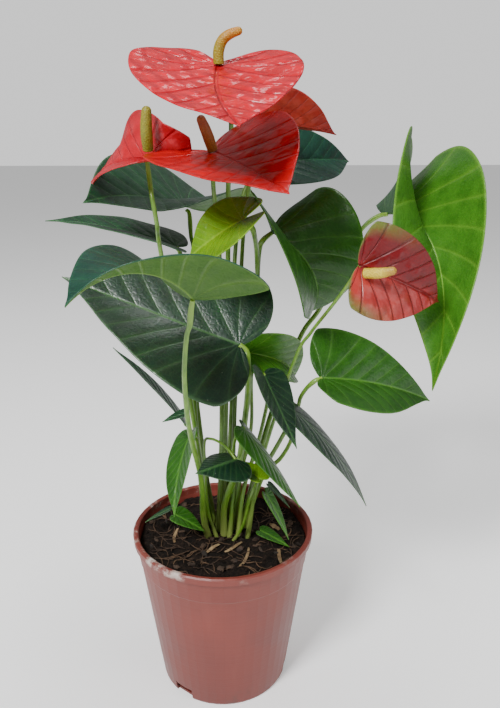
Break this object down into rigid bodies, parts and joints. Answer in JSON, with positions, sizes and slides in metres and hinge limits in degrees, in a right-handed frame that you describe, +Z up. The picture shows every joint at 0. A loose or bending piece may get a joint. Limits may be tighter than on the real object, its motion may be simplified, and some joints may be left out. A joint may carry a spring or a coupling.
{
  "type": "potted anthurium",
  "caption": "Flowering anthurium with heart-shaped spathes and spadices on thin stalks above heart-shaped leaves, growing from a round tapered nursery pot of potting mix.",
  "frame": {"origin": "centre of the pot's flat underside", "axes": "+Z up along the pot's axis, -Y towards the side the front spathe faces, +X to the right seen from there"},
  "size_m": [0.2733, 0.2735, 0.4141],
  "materials": {
    "pot": "satin",
    "potting_mix": "rough",
    "spathe": "satin",
    "spathe_pale": "satin",
    "spathe_underside": "satin",
    "spadix": "satin",
    "stalk": "satin",
    "leaf_dark": "satin",
    "leaf_mid": "satin",
    "leaf_bright": "satin",
    "straw": "satin",
    "bark": "satin"
  },
  "bodies": {
    "root": {"pot": "pot", "potting_mix": "potting_mix", "spathe_top": "spathe", "flower_stalk_top": "stalk", "spadix_top": "spadix", "spathe_front": "spathe", "flower_stalk_front": "stalk", "spadix_front": "spadix", "spathe_left": "spathe_pale", "flower_stalk_left": "stalk", "spadix_left": "spadix", "spathe_rear": "spathe_underside", "flower_stalk_rear": "stalk", "spadix_rear": "spadix", "spathe_young": "spathe", "flower_stalk_young": "stalk", "spadix_young": "spadix", "leaf_upper_left": "leaf_dark", "petiole_upper_left": "stalk", "leaf_side_left": "leaf_dark", "petiole_side_left": "stalk", "leaf_front_left": "leaf_mid", "petiole_front_left": "stalk", "leaf_big_dark": "leaf_dark", "petiole_big_dark": "stalk", "leaf_young_bright": "leaf_bright", "petiole_young_bright": "stalk", "leaf_upper_right": "leaf_mid", "petiole_upper_right": "stalk", "leaf_rear_right": "leaf_dark", "petiole_rear_right": "stalk", "leaf_large_right": "leaf_mid", "petiole_large_right": "stalk", "leaf_lower_right": "leaf_mid", "petiole_lower_right": "stalk", "leaf_crinkled": "leaf_bright", "petiole_crinkled": "stalk", "leaf_dark_centre": "leaf_dark", "petiole_dark_centre": "stalk", "leaf_long_drooping": "leaf_dark", "petiole_long_drooping": "stalk", "leaf_low_left": "leaf_mid", "petiole_low_left": "stalk", "leaf_small_dark": "leaf_dark", "petiole_small_dark": "stalk", "leaf_small_bright": "leaf_bright", "petiole_small_bright": "stalk", "leaf_low_right": "leaf_mid", "petiole_low_right": "stalk", "leaf_narrow_left": "leaf_mid", "petiole_narrow_left": "stalk", "leaf_tiny_left": "leaf_mid", "leaf_soil_left": "leaf_mid", "leaf_soil_front": "leaf_mid", "leaf_soil_right_front": "leaf_mid", "leaf_soil_right_low": "leaf_mid", "leaf_soil_right_rear": "leaf_mid", "straw_strip": "straw", "dead_sheath": "straw", "bark_chip": "bark"}
  },
  "joints": []
}
